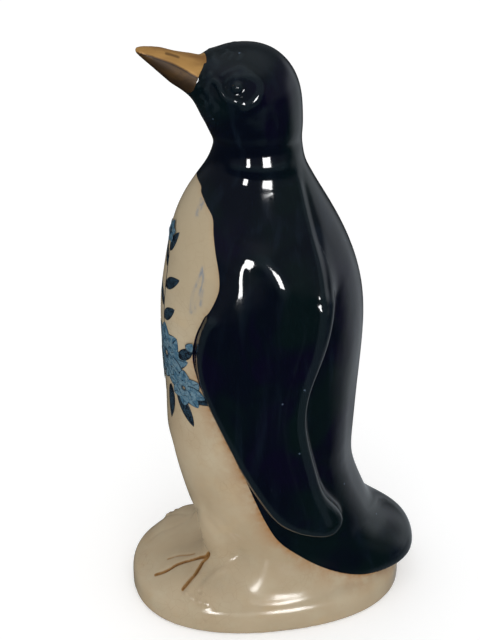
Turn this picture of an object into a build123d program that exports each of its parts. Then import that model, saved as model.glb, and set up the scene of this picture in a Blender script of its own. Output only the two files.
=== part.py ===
from build123d import *
import os
from math import asin, cos, degrees, radians, sin

# A glazed earthenware penguin on an oval plinth, a hollow slip casting.
# The frame: the bird looks along -Y, its left side is +X, up is +Z, in millimetres.
# The origin is on the underside, midway between the plinth's front and the tail's tip.
# Forward places are positive in the tables and are turned to -Y where they are used.

os.makedirs("parts", exist_ok=True)

# The plinth
plinth_length = 118.6
plinth_width = 85.6
rim_height = 15.0
rim_rounding = 8.0
mound_rise = 16.0
base_wall = 5.0
foot_ring_width = 7.0
foot_ring_depth = 1.5
vent_diameter = 3.5

# The hollow casting: reaches are measured from the body's upright axis
body_length = 198.0
belly_reach = 44.0
back_reach = 39.5
body_half_width = 36.0
tail_overhang = 6.4
tail_root_reach = 24.0
tail_root_lean = 9.0
tail_root_rise = 52.0
wall = 5.0

# The head turns forward about a pivot in front of the throat
throat_pivot_reach = 37.0
head_depth = 54.0
head_half_width = 18.3
face_turn = 74.0

# The bill, in two halves that meet along the gape
bill_length = 27.0
bill_turn = 60.0
gape_lift = 1.0

# The eyes
eye_ring_diameter = 12.5
eye_ball_diameter = 7.0
eye_relief = 1.3
eye_groove = 0.9
eye_seat_depth = 4.0
eye_forward = 11.6
eye_rise = 23.4
eye_lift_angle = 30.0
eye_toe_in_angle = 10.0

# The flippers, laid over the flanks
flipper_thickness = 5.5
flipper_edge_rounding = 2.4

# The thighs, barrels that swell out of the belly above the feet
thigh_radius = 13.5
thigh_height = 50.0
thigh_spread = 13.0
thigh_inset = 1.7

# The feet, each with three broad toes
toe_length = 27.0
toe_half_width = 6.8
toe_height = 4.0
toe_seat = 2.0
toe_depth = 6.0
toe_splay_angles = (-9.0, 27.0, 62.0)
ankle_spread = 10.0
ankle_sink = 11.6

overrun = 20.0

# The handle of a round quarter, as a share of its reach, and that of the plinth's fuller oval
round_fullness = 0.56
oval_fullness = 0.63

# The plinth's middle lies half the overhang ahead of the origin
centre_y = -tail_overhang / 2
tail_reach = plinth_length / 2 + tail_overhang
neck_height = rim_height + body_length

# Shares, from the plinth's rim up to the throat:
# height of body_length, front of belly_reach, back of back_reach,
# share of the way from back_reach out to tail_reach, half-width of body_half_width,
# widest place of belly_reach, fullness of the corners
body_shares = (
    (0.000, 0.47, 1.00, 1.00, 0.91, -0.22, 0.72),
    (0.040, 0.48, 1.00, 0.93, 0.92, -0.20, 0.64),
    (0.075, 0.52, 1.00, 0.58, 0.94, -0.18, 0.60),
    (0.110, 0.62, 1.00, 0.30, 0.95, -0.14, 0.60),
    (0.150, 0.75, 1.00, 0.15, 0.95, -0.09, 0.60),
    (0.200, 0.83, 0.97, 0.05, 0.96, -0.05, 0.60),
    (0.260, 0.90, 0.93, 0.00, 0.97, 0.00, 0.59),
    (0.340, 0.96, 0.93, 0.00, 0.99, 0.02, 0.58),
    (0.440, 0.97, 0.96, 0.00, 1.00, 0.04, 0.58),
    (0.560, 1.00, 1.00, 0.00, 1.00, 0.05, 0.58),
    (0.660, 1.00, 0.99, 0.00, 0.98, 0.06, 0.58),
    (0.760, 0.94, 0.87, 0.00, 0.91, 0.07, 0.58),
    (0.845, 0.86, 0.68, 0.00, 0.78, 0.09, 0.57),
    (0.910, 0.725, 0.50, 0.00, 0.62, 0.11, 0.56),
    (0.960, 0.580, 0.38, 0.00, 0.51, 0.11, 0.55),
    (1.000, 0.500, 0.34, 0.00, 0.47, 0.10, 0.55),
)

# Shares, from the throat round to the face: turn of face_turn, near and far reach
# from the pivot and widest place, all of head_depth, half-width of head_half_width
head_shares = (
    (0.22, 0.272, 0.965, 0.61, 0.950),
    (0.44, 0.279, 1.032, 0.65, 0.995),
    (0.62, 0.299, 1.018, 0.67, 0.990),
    (0.78, 0.330, 0.918, 0.65, 0.900),
    (0.90, 0.370, 0.825, 0.62, 0.720),
    (1.00, 0.415, 0.745, 0.60, 0.480),
)

# Shares up a thigh: height of thigh_height, radius of thigh_radius
thigh_shares = ((0.00, 0.66), (0.25, 0.76), (0.58, 1.00), (0.85, 0.86), (1.00, 0.60))

# Shares up the mound: height of mound_rise, share of the way from the body's foot out to
# the plinth's edge in front and at the side, and back of half the plinth's length
mound_shares = (
    (-0.08, 0.86, 0.70, 0.90),
    (0.12, 0.60, 0.56, 0.87),
    (0.32, 0.33, 0.46, 0.83),
    (0.65, 0.14, 0.30, 0.70),
    (1.10, 0.00, 0.05, 0.50),
)
ankle_mound_share = 0.32

# Shares along the bill: place of bill_length, height over and under the middle and
# half-width, all of the face's
bill_shares = (
    (0.00, 0.97, 0.94, 0.93),
    (0.34, 0.71, 0.67, 0.72),
    (0.68, 0.42, 0.38, 0.46),
    (0.92, 0.20, 0.17, 0.22),
    (1.00, 0.09, 0.10, 0.10),
)

# Shares along a toe: place of toe_length, half-width of toe_half_width, height of toe_height
toe_shares = (
    (-0.25, 0.55, 2.60),
    (0.10, 0.60, 2.20),
    (0.40, 0.78, 1.50),
    (0.70, 1.00, 1.05),
    (0.92, 0.90, 0.80),
    (1.00, 0.50, 0.40),
)

# The edge of the dark glaze in side view, from the throat down to the tail's underside:
# forward of belly_reach, height of body_length
glaze_line_shares = (
    (0.80, 0.936),
    (0.60, 0.908),
    (0.585, 0.856),
    (0.555, 0.781),
    (0.625, 0.677),
    (0.66, 0.587),
    (0.57, 0.468),
    (0.32, 0.328),
    (0.16, 0.214),
    (-0.07, 0.124),
    (-0.50, 0.052),
    (-1.02, 0.012),
)

# The flipper's outline in side view: forward of belly_reach, height of body_length
flipper_shares = (
    (0.45, 0.835),
    (0.58, 0.745),
    (0.745, 0.655),
    (0.775, 0.575),
    (0.70, 0.505),
    (0.535, 0.412),
    (0.20, 0.255),
    (-0.02, 0.190),
    (-0.30, 0.155),
    (-0.52, 0.150),
    (-0.60, 0.168),
    (-0.47, 0.235),
    (-0.31, 0.330),
    (-0.21, 0.437),
    (-0.23, 0.520),
    (-0.375, 0.608),
    (-0.47, 0.690),
    (-0.46, 0.775),
    (-0.28, 0.850),
    (0.10, 0.890),
)

# How far the flipper stands off the flank: height of body_length, share of its thickness
flipper_lift_shares = (
    (0.075, 1.05),
    (0.150, 1.10),
    (0.260, 1.05),
    (0.440, 0.95),
    (0.560, 0.95),
    (0.660, 0.85),
    (0.760, 0.60),
    (0.845, 0.20),
    (0.910, -0.60),
)


def egg(plane, front, back, half_width, widest, fullness):
    """A face of four smooth quarters, drawn with the bird's left at +x and its back at +y."""
    left = Vector(half_width, -widest)
    right = Vector(-half_width, -widest)
    fore = Vector(0, -front)
    rear = Vector(0, back)
    fore_handle = Vector(0, -fullness * (front - widest))
    rear_handle = Vector(0, fullness * (back + widest))
    side_handle = Vector(fullness * half_width, 0)
    with BuildSketch(plane) as face:
        with BuildLine():
            Bezier(left, left + fore_handle, fore + side_handle, fore)
            Bezier(fore, fore - side_handle, right + fore_handle, right)
            Bezier(right, right + rear_handle, rear - side_handle, rear)
            Bezier(rear, rear + side_handle, left + rear_handle, left)
        make_face()
    return face.sketch


def level(height):
    """A level plane on the body's axis."""
    return Plane((0, centre_y, height))


def plinth_outline(inset):
    """The plinth's oval outline, drawn in by a length."""
    half_length = plinth_length / 2 - inset
    return egg(level(0), half_length, half_length, plinth_width / 2 - inset, 0, oval_fullness)


def outward(start, end, share):
    """A length that lies part of the way from one length to another."""
    return start + (end - start) * share


def lerp(pairs, place):
    """The value at a place along a table of (place, value) pairs."""
    for (start, first), (end, last) in zip(pairs, pairs[1:]):
        if start <= place <= end:
            return outward(first, last, (place - start) / (end - start))
    return pairs[-1][1]


def body_section(row, swell):
    """One level section of the body, swollen all round by a length."""
    height, front, back, tail, half_width, widest, fullness = row
    return egg(
        level(rim_height + height * body_length),
        front * belly_reach + swell,
        outward(back * back_reach, tail_reach, tail) + swell,
        half_width * body_half_width + swell,
        widest * belly_reach,
        fullness,
    )


def head_plane(turn):
    """A plane through the throat's pivot, turned forward from level."""
    pivot = (0, centre_y - throat_pivot_reach, neck_height)
    return Plane(pivot, x_dir=(1, 0, 0), z_dir=(0, -sin(radians(turn)), cos(radians(turn))))


def head_section(row, swell):
    """One section of the head, on a plane that fans out from the throat's pivot."""
    turn, near, far, widest, half_width = row
    return egg(
        head_plane(turn * face_turn),
        swell - near * head_depth,
        far * head_depth + swell,
        half_width * head_half_width + swell,
        -widest * head_depth,
        round_fullness,
    )


def side_outline(shares):
    """Points in side view, as the Y and Z of a plane across the bird."""
    return [
        (centre_y - forward * belly_reach, rim_height + height * body_length)
        for forward, height in shares
    ]


# Where the front of the body meets the plinth, ahead of the body's axis
instep_reach = body_shares[0][1] * belly_reach

# The body's outer form and its hollow, before it is parted
with BuildPart() as outer_form:
    loft([body_section(row, 0) for row in body_shares] + [head_section(row, 0) for row in head_shares])
    for side in (1, -1):
        thigh_place = (side * thigh_spread, centre_y - (instep_reach - thigh_inset), rim_height)
        thigh_foot = Plane(thigh_place, x_dir=(1, 0, 0), z_dir=(0, -1, 0))
        with BuildSketch(thigh_foot) as thigh_profile:
            with BuildLine():
                profile = Spline(
                    [(radius * thigh_radius, height * thigh_height) for height, radius in thigh_shares]
                )
                Polyline(profile @ 1, (0, thigh_height), (0, 0), profile @ 0)
            make_face()
        revolve(axis=Axis(thigh_foot.origin, (0, 0, 1)))

with BuildPart() as hollow_form:
    loft(
        [body_section(row, -wall) for row in body_shares]
        + [head_section(row, -wall) for row in head_shares[:4]]
    )

with BuildPart() as casting:
    add(outer_form.part)
    add(hollow_form.part, mode=Mode.SUBTRACT)

# The dark glaze's side of the casting, and the tail's end of it
side_view = Plane.YZ
with BuildPart() as dark_side:
    with BuildSketch(side_view):
        with BuildLine():
            line = Spline(side_outline(glaze_line_shares))
            Polyline(
                line @ 1,
                (centre_y + tail_reach + overrun, (line @ 1).Y),
                (centre_y + tail_reach + overrun, neck_height + head_depth + overrun),
                (centre_y - belly_reach - overrun, neck_height + head_depth + overrun),
                (centre_y - belly_reach - overrun, (line @ 0).Y),
                line @ 0,
            )
        make_face()
    extrude(amount=body_half_width + overrun, both=True)

with BuildPart() as tail_end:
    with BuildSketch(side_view):
        with BuildLine():
            Polyline(
                (centre_y + tail_root_reach + tail_root_lean, rim_height + tail_root_rise),
                (centre_y + tail_root_reach, rim_height - overrun),
                (centre_y + tail_reach + overrun, rim_height - overrun),
                (centre_y + tail_reach + overrun, rim_height + tail_root_rise),
                close=True,
            )
        make_face()
    extrude(amount=body_half_width + overrun, both=True)

with BuildPart() as breast_and_belly:
    add(casting.part)
    add(dark_side.part, mode=Mode.SUBTRACT)

with BuildPart() as hood_and_back:
    add(casting.part)
    add(dark_side.part, mode=Mode.INTERSECT)
    add(tail_end.part, mode=Mode.SUBTRACT)

with BuildPart() as tail:
    add(casting.part)
    add(dark_side.part, mode=Mode.INTERSECT)
    add(tail_end.part, mode=Mode.INTERSECT)

def mound_reach(row):
    """How far one section of the mound reaches to the front, to the back and to the side."""
    height, front, side, back = row
    return (
        outward(instep_reach, plinth_length / 2, front),
        back * plinth_length / 2,
        outward(body_shares[0][4] * body_half_width, plinth_width / 2, side),
    )


# The plinth: an oval slab with a soft rim, mounded round the body
with BuildPart() as plinth_form:
    extrude(plinth_outline(0), amount=rim_height)
    fillet(plinth_form.edges().group_by(Axis.Z)[-1], rim_rounding)
    loft(
        [
            egg(level(rim_height + row[0] * mound_rise), *mound_reach(row), 0, round_fullness)
            for row in mound_shares
        ]
    )

with BuildPart() as plinth:
    add(plinth_form.part)
    add(outer_form.part, mode=Mode.SUBTRACT)
    extrude(plinth_outline(foot_ring_width), amount=foot_ring_depth, mode=Mode.SUBTRACT)
    extrude(body_section(body_shares[0], -wall), amount=-(rim_height - base_wall), mode=Mode.SUBTRACT)
    with BuildSketch(level(0)):
        Circle(vent_diameter / 2)
    extrude(amount=rim_height, mode=Mode.SUBTRACT)

# The flippers, blades laid over the flanks and cut to them
with BuildPart() as flipper_form:
    loft(
        [
            body_section(row, flipper_thickness * lerp(flipper_lift_shares, row[0]))
            for row in body_shares
            if flipper_lift_shares[0][0] <= row[0] <= flipper_lift_shares[-1][0]
        ]
    )
with BuildPart() as left_flipper:
    with BuildSketch(side_view):
        with BuildLine():
            Spline(side_outline(flipper_shares), periodic=True)
        make_face()
    extrude(amount=body_half_width + overrun)
    add(flipper_form.part, mode=Mode.INTERSECT)
    blade_edges = left_flipper.faces().sort_by(Axis.X)[-1].edges()
    fillet(blade_edges, flipper_edge_rounding)
    add(outer_form.part, mode=Mode.SUBTRACT)
with BuildPart() as right_flipper:
    add(left_flipper.part)
    mirror(about=Plane.YZ, mode=Mode.REPLACE)

# The bill: the face's section drawn out to a blunt point, parted along the gape
face_middle = (head_shares[-1][1] + head_shares[-1][2]) / 2 * head_depth
face_half_height = (head_shares[-1][2] - head_shares[-1][1]) / 2 * head_depth
face_half_width = head_shares[-1][4] * head_half_width
face_plane = head_plane(face_turn)
bill_root = face_plane.from_local_coords((0, face_middle, 0))
bill_line = head_plane(bill_turn).z_dir


def bill_section(share, over, under, width):
    """One section of the bill, turned part of the way from the face to the bill's own line."""
    turn = outward(face_turn, bill_turn, min(1, share / bill_shares[1][0]))
    middle = bill_root + bill_line * (share * bill_length)
    plane = Plane(middle, x_dir=(1, 0, 0), z_dir=head_plane(turn).z_dir)
    below, above = under * face_half_height, over * face_half_height
    return egg(plane, below, above, width * face_half_width, 0, round_fullness)


with BuildPart() as bill_form:
    loft([bill_section(*row) for row in bill_shares])
gape = Plane(bill_root + Vector(0, 0, gape_lift), x_dir=(1, 0, 0), z_dir=head_plane(bill_turn).y_dir)
with BuildPart() as upper_bill:
    add(bill_form.part)
    split(bisect_by=gape, keep=Keep.TOP)
with BuildPart() as lower_bill:
    add(bill_form.part)
    split(bisect_by=gape, keep=Keep.BOTTOM)


def eye_plane(side):
    """The plane that touches the head where the eye sits, facing out of it."""
    start = Vector(0, centre_y - eye_forward, neck_height + eye_rise)
    lift, toe_in = radians(eye_lift_angle), radians(eye_toe_in_angle)
    look = Vector(side * cos(lift) * cos(toe_in), -cos(lift) * sin(toe_in), sin(lift))
    place, facing = outer_form.part.find_intersection_points(Axis(start, look))[-1]
    return Plane(place, x_dir=(0, 1, 0), z_dir=facing if facing.dot(look) > 0 else -facing)


def make_eye(side):
    """A moulded eye: a ball in a raised ring, seated on the curve of the head."""
    seat = eye_plane(side)
    ring_radius, ball_radius = eye_ring_diameter / 2, eye_ball_diameter / 2
    crest_radius = (ring_radius + ball_radius) / 2
    across = Plane(seat.origin, x_dir=seat.x_dir, z_dir=seat.x_dir.cross(seat.z_dir))
    with BuildPart() as eye:
        with BuildSketch(across):
            with BuildLine():
                ring = Spline(
                    (ring_radius, -eye_relief / 2),
                    (crest_radius, eye_relief),
                    (ball_radius, eye_relief - eye_groove),
                )
                ball_height = 2 * eye_groove
                curve = (ball_radius**2 + ball_height**2) / (2 * ball_height)
                spread = degrees(asin(ball_radius / curve))
                ball = CenterArc((0, eye_relief + eye_groove - curve), curve, 90 - spread, spread)
                Polyline(ball @ 1, (0, -eye_seat_depth), (ring_radius, -eye_seat_depth), ring @ 0)
            make_face()
        revolve(axis=Axis(seat.origin, seat.z_dir))
        add(outer_form.part, mode=Mode.SUBTRACT)
    return eye


left_eye = make_eye(1)
right_eye = make_eye(-1)


# The feet, each of three broad toes that touch along their length and lie on the mound
ankle_shares = [lerp([(row[0], row[k]) for row in mound_shares], ankle_mound_share) for k in (1, 2, 3)]
ankle_forward = mound_reach((ankle_mound_share, *ankle_shares))[0] - ankle_sink
ankle = Vector(ankle_spread, centre_y - ankle_forward, rim_height + toe_seat)


def left_toe(splay):
    """One toe of the left foot, trimmed to the mound and the body."""
    along = Vector(sin(radians(splay)), -cos(radians(splay)), 0)
    with BuildPart() as toe:
        loft(
            [
                egg(
                    Plane(ankle + along * (place * toe_length), x_dir=(-along.Y, along.X, 0), z_dir=along),
                    toe_depth,
                    height * toe_height,
                    half_width * toe_half_width,
                    0,
                    round_fullness,
                )
                for place, half_width, height in toe_shares
            ]
        )
        add(plinth_form.part, mode=Mode.SUBTRACT)
        add(outer_form.part, mode=Mode.SUBTRACT)
    return toe.part


with BuildPart() as left_foot:
    for splay in toe_splay_angles:
        add(left_toe(splay))

with BuildPart() as right_foot:
    add(left_foot.part)
    mirror(about=Plane.YZ, mode=Mode.REPLACE)

pieces = {
    "breast_and_belly": breast_and_belly,
    "hood_and_back": hood_and_back,
    "tail": tail,
    "plinth": plinth,
    "left_flipper": left_flipper,
    "right_flipper": right_flipper,
    "upper_bill": upper_bill,
    "lower_bill": lower_bill,
    "left_eye": left_eye,
    "right_eye": right_eye,
    "left_foot": left_foot,
    "right_foot": right_foot,
}
for name, piece in pieces.items():
    piece.part.label = name
    export_step(piece.part, f"parts/{name}.step")
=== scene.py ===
from math import cos, pi, radians, sin

import bmesh
import bpy
import numpy as np
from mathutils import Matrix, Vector
from mathutils.bvhtree import BVHTree


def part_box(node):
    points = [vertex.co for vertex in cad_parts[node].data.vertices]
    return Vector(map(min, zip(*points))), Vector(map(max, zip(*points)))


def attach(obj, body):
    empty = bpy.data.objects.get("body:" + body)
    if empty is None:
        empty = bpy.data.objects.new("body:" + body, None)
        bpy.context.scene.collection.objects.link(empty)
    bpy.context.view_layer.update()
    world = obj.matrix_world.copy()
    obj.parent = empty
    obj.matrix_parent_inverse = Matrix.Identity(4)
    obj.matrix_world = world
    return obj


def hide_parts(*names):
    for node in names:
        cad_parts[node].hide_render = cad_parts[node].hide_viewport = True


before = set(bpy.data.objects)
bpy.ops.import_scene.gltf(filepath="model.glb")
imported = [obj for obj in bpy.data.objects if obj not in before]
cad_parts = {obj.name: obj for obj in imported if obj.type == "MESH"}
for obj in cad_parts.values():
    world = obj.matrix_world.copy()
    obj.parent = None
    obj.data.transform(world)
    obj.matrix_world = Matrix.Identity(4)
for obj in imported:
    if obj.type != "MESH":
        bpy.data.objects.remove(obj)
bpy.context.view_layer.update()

# The fired casting: bird and plinth are cast hollow in one plaster mould from earthenware slip.
# The moulded pieces are luted together with slip and sponged, so that every joint between
# them is a soft hollow, and the glaze levels what is left.
MM = 0.001
SKIN_CELL = 0.65 * MM
SPONGING_ROUNDS = (5, 11)
SPONGING_PRESSURE = 0.5
PLUG_RADIUS = 2.3 * MM
PLUG_DEPTH = 12 * MM
PLUG_SINK = 2.2 * MM
RIM_TOP = 14.9 * MM
REAR_START = 20 * MM
TAIL_FLOOR = 22 * MM
JOINT_REACH = 3 * MM
JOINT_START = 0.6
WELD = 0.001 * MM
SCENE = bpy.context.scene.collection


def evaluated(obj):
    """A plain mesh of an object as its modifiers leave it."""
    return bpy.data.meshes.new_from_object(obj.evaluated_get(bpy.context.evaluated_depsgraph_get()))


def placed(name, mesh):
    """A new object at the origin."""
    obj = bpy.data.objects.new(name, mesh)
    SCENE.objects.link(obj)
    return obj


def rear_rim():
    """The rear rim, a mirror image of the full front rim, and a floor in the tail: they shut the hollow."""
    low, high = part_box("plinth")
    rim = bmesh.new()
    rim.from_mesh(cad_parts["plinth"].data)
    bmesh.ops.remove_doubles(rim, verts=rim.verts, dist=WELD)
    for vert in rim.verts:
        vert.co.y = low.y + high.y - vert.co.y
    bmesh.ops.reverse_faces(rim, faces=rim.faces)
    for place, outwards in (((0, 0, RIM_TOP), (0, 0, 1)), ((0, REAR_START, 0), (0, -1, 0))):
        everything = [*rim.verts, *rim.edges, *rim.faces]
        bmesh.ops.bisect_plane(rim, geom=everything, plane_co=place, plane_no=outwards, clear_outer=True)
        bmesh.ops.holes_fill(rim, edges=[edge for edge in rim.edges if edge.is_boundary], sides=0)
    bodies = [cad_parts[name].data for name in ("breast_and_belly", "hood_and_back", "tail")]
    low_points = [vert.co for body in bodies for vert in body.vertices if vert.co.z < TAIL_FLOOR]
    foot = [place for place in low_points if place.y > REAR_START]
    # a plug of slip, half as wide as the foot, from inside the rim into the tail
    middle = JOINT_START * max(place.y for place in foot)
    joint = [
        (place.x / 2, (place.y + middle) / 2, height)
        for place in foot
        for height in (RIM_TOP - JOINT_REACH, RIM_TOP + JOINT_REACH)
    ]
    for places in (foot, joint):
        slab = bmesh.ops.convex_hull(rim, input=[rim.verts.new(place) for place in places])
        bmesh.ops.delete(rim, geom=slab["geom_interior"], context="VERTS")
    mesh = bpy.data.meshes.new("rear_rim")
    rim.to_mesh(mesh)
    return mesh


def sponged_casting():
    """One closed skin round all the moulded pieces, with the vent stopped so that it has no inside."""
    luted = bmesh.new()
    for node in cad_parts.values():
        luted.from_mesh(node.data)
    luted.from_mesh(rear_rim())
    plug = bmesh.ops.create_cone(
        luted, cap_ends=True, segments=24, radius1=PLUG_RADIUS, radius2=PLUG_RADIUS, depth=PLUG_DEPTH
    )
    low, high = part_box("plinth")
    bmesh.ops.translate(luted, verts=plug["verts"], vec=(0, (low.y + high.y) / 2, PLUG_DEPTH / 2 + PLUG_SINK))
    mesh = bpy.data.meshes.new("luted_pieces")
    luted.to_mesh(mesh)
    obj = placed("luted_pieces", mesh)
    for rounds in SPONGING_ROUNDS:
        wrap = obj.modifiers.new("wrap", "REMESH")
        wrap.mode = "VOXEL"
        wrap.voxel_size = SKIN_CELL
        sponge = obj.modifiers.new("sponge", "SMOOTH")
        sponge.factor = SPONGING_PRESSURE
        sponge.iterations = rounds
    skin = evaluated(obj)
    bpy.data.objects.remove(obj)
    return skin


skin = sponged_casting()
skin_edges = np.empty(len(skin.edges) * 2, int)
skin.edges.foreach_get("vertices", skin_edges)
skin_edges = skin_edges.reshape(-1, 2)


def read(mesh, field):
    """A vector field of all the mesh's points, as an array with one row a point."""
    values = np.empty(len(mesh.vertices) * 3)
    mesh.vertices.foreach_get(field, values)
    return values.reshape(-1, 3)


def sponge_away(places, where, rounds):
    """Level the skin where a weight from 0 to 1 says so; points that are hardly touched stay still."""
    touched = where > 0.01
    where = where * touched
    ends = skin_edges[touched[skin_edges[:, 0]] | touched[skin_edges[:, 1]]]
    near, far = np.concatenate([ends[:, 0], ends[:, 1]]), np.concatenate([ends[:, 1], ends[:, 0]])
    number = np.maximum(np.bincount(near, minlength=len(places)), 1)
    for _ in range(rounds):
        mean = np.stack([np.bincount(near, places[far, k], len(places)) for k in range(3)], 1) / number[:, None]
        places = places + (mean - places) * (where * SPONGING_PRESSURE)[:, None]
    return places


def soft_step(values, start, end):
    """A smooth rise from 0 at start to 1 at end."""
    share = np.clip((values - start) / (end - start), 0, 1)
    return share * share * (3 - 2 * share)


def distance(places, line, reach, batch=20000):
    """Distance from every place to a line, at most the reach."""
    far = np.full(len(places), reach)
    low, high = line.min(0) - reach, line.max(0) + reach
    near = np.where(((places > low) & (places < high)).all(1))[0]
    for start in range(0, len(near), batch):
        some = near[start : start + batch]
        gaps = np.linalg.norm(places[some, None] - line[None], axis=2).min(1)
        far[some] = np.minimum(gaps, reach)
    return far


EYE = (17.7, -19.2, 245.9)
CHIN = (0, -34.5, 236.5)
COLLAR_HEIGHT = 211
SHOULDER = np.array(
    [
        (0, -28.7, 163),
        (0, -24, 176),
        (0, -17, 187),
        (0, -7.6, 191.2),
        (0, 2, 188.5),
        (0, 9.1, 183.3),
        (0, 14, 177),
        (0, 17, 168),
    ]
)
places = read(skin, "co")
# where the potter sponges most: the feet lie low in the mound, the eyes hardly stand out, the
# flippers grow out of the shoulders, and collar and chin have no step
feet = (1 - soft_step(places[:, 2], 24 * MM, 30 * MM)) * (1 - soft_step(places[:, 1], -22 * MM, -16 * MM))
feet *= soft_step(places[:, 2], 11 * MM, 15 * MM)
eyes = 1 - soft_step(np.linalg.norm(np.abs(places) - np.abs(EYE) * np.array(MM), axis=1), 7 * MM, 12 * MM)
eyes *= places[:, 1] < 0
shoulders = 1 - soft_step(distance(places * (0, 1, 1), SHOULDER * MM, 13 * MM), 6 * MM, 12 * MM)
collar = 1 - soft_step(np.abs(places[:, 2] - COLLAR_HEIGHT * MM), 5 * MM, 12 * MM)
chin = 1 - soft_step(np.linalg.norm(places - np.array(CHIN) * MM, axis=1), 5 * MM, 10 * MM)
for where, rounds in ((feet, 380), (eyes, 110), (np.maximum(shoulders, collar), 140), (chin, 90)):
    places = sponge_away(places, where, rounds)
skin.vertices.foreach_set("co", places.ravel())
skin.update()

# The modeller's detail: lines pressed into or raised from the soft clay with a tool's tip, most
# of them alike on both sides of the bird. Each is a few points in millimetres near the skin, a
# width and a height, which is below zero for a pressed line.
UNSCULPTED = BVHTree.FromPolygons(
    [v.co for v in skin.vertices], [tuple(p.vertices) for p in skin.polygons], all_triangles=False
)
LINE_STEPS = 12


def smooth_line(points):
    """A smooth line through a few points, as an array of closely spaced points."""
    points = np.array(points, float)
    ends = np.vstack([2 * points[0] - points[1], points, 2 * points[-1] - points[-2]])
    line = []
    for a, b, c, d in zip(ends, ends[1:], ends[2:], ends[3:]):
        for step in range(LINE_STEPS):
            t = step / LINE_STEPS
            line.append(
                0.5 * (2 * b + (c - a) * t + (2 * a - 5 * b + 4 * c - d) * t**2 + (3 * b - a - 3 * c + d) * t**3)
            )
    line.append(points[-1])
    return np.array(line)


def trail(points, side=1):
    """A smooth line on the skin, from points in millimetres on the left side."""
    line = smooth_line(points) * MM if len(points) > 1 else np.array(points, float) * MM
    line[:, 0] *= side
    return np.array([UNSCULPTED.find_nearest(Vector(point))[0] for point in line])


SCULPT = {"places": places.copy(), "lift": np.zeros(len(places))}
normals = read(skin, "normal")
MARK_END = 3
TAPER_LENGTH = 2.5
TIP_SHARE = 0.35


def tool(points, width, height, taper=True, sides=(1, -1)):
    """Raise a line of the clay, or press it in where the height is negative.

    A mark fades out three widths from its line, and is lower at the line's tips.
    """
    for side in sides:
        line = trail(points, side)
        gaps = distance(SCULPT["places"], line, MARK_END * width * MM)
        swell = np.exp(-((gaps / (width * MM)) ** 2)) - np.exp(-(MARK_END**2))
        if taper and len(line) > 3:
            ends = np.minimum(
                np.linalg.norm(SCULPT["places"] - line[0], axis=1),
                np.linalg.norm(SCULPT["places"] - line[-1], axis=1),
            )
            swell *= TIP_SHARE + (1 - TIP_SHARE) * soft_step(ends, 0, TAPER_LENGTH * width * MM)
        SCULPT["lift"] += swell * height * MM


EYE_FLATNESS = 0.87
RING_STEP = 24


def eye_ring(radius, start=0, end=360):
    """Points of a ring round the left eye, from the back over the top, in degrees."""
    count = max(6, round((end - start) / RING_STEP))
    turns = [radians(start + (end - start) * step / count) for step in range(count + 1)]
    return [(EYE[0], EYE[1] + radius * cos(turn), EYE[2] + radius * sin(turn) * EYE_FLATNESS) for turn in turns]


# the eye: a round pupil in a sunk bowl, and a swollen rim that is fullest behind it
tool([EYE], 6.4, -1.3)
tool([EYE], 2.1, 1.8)
tool(eye_ring(3.3), 0.7, -0.25, taper=False)
tool(eye_ring(8.2, 95, 265), 1.5, 0.35)
tool(eye_ring(9.0, -95, 88), 2.2, 1.0)
# the full cheek behind and below it
tool([(18.6, -11.5, 236.5)], 9.0, 1.1)
# the brow, and the curl that runs from the gape under the eye
BROW = (
    (12.1, -26.1, 246.9), (12.1, -23.8, 248.9), (11.9, -21.5, 250.3), (11.8, -17.3, 251.6),
    (13.2, -13.3, 250.6),
)
tool(BROW, 1.3, 0.35)
CHEEK_CURL = (
    (11.0, -28.6, 245.0), (11.6, -27.4, 246.4), (12.7, -25.8, 246.0), (14.8, -24.7, 243.4),
    (16.3, -23.0, 241.1), (18.2, -20.3, 240.3), (18.4, -16.7, 239.6),
)
tool(CHEEK_CURL, 1.1, 0.5)
tool([(11.8, -27.4, 244.6), (13.6, -26.0, 242.6), (15.6, -24.4, 239.9), (17.6, -21.4, 238.4)], 0.9, -0.3)
# tufts of down round the root of the bill
for tuft in (
    (8.3, -30.5, 246.8),
    (8.4, -32.1, 243.2),
    (5.8, -31.2, 249.4),
    (9.6, -28.4, 248.2),
    (10.8, -29.8, 242.5),
    (9.4, -31.2, 239.3),
):
    tool([tuft], 1.2, 0.35)
# swirls of down over the forehead and scallops under the cheek
for swirl in (
    ((6.9, -24.8, 251.9), (4.6, -26.2, 252.6), (1.8, -25.2, 253.3)),
    ((4.7, -22.6, 253.2), (2.4, -20.2, 254.1), (0.6, -21.6, 254.2)),
    ((6.9, -19.9, 253.1), (4.4, -18.6, 254.1), (2.6, -20.0, 254.4)),
    ((8.2, -17.0, 253.1), (6.0, -15.4, 253.9), (3.9, -16.9, 254.6)),
    ((12.1, -29.3, 240.9), (12.6, -28.0, 239.2), (11.6, -28.9, 237.6)),
    ((13.7, -27.6, 238.2), (14.4, -26.2, 236.6), (13.3, -27.0, 234.9)),
    ((10.4, -30.6, 239.2), (11.2, -29.6, 236.9), (9.9, -30.4, 235.4)),
):
    tool(swirl, 0.8, 0.26)
# the seam of the collar and a few soft flutes down the nape
COLLAR_SEAM = (
    (3.0, -25.6, 216.4), (13.4, -19.1, 217.4), (16.5, -11.9, 217.2), (16.5, -4.0, 217.0),
    (12.1, 4.7, 216.6), (3.0, 8.6, 216.0),
)
tool(COLLAR_SEAM, 2.5, -0.45)
COLLAR_RIDGE = (
    (9.0, -24.0, 210.0), (14.0, -19.0, 210.6), (17.3, -11.0, 210.6), (17.3, -4.0, 210.4),
    (13.0, 5.0, 210.0),
)
tool(COLLAR_RIDGE, 3.0, 0.65)
for flute in (
    ((17.2, -7.0, 233.0), (17.6, -5.4, 226.0), (17.3, -5.4, 221.0)),
    ((16.2, -2.4, 236.0), (16.8, -0.6, 228.0), (16.6, -1.0, 222.0)),
):
    tool(flute, 2.0, -0.2)
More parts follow.
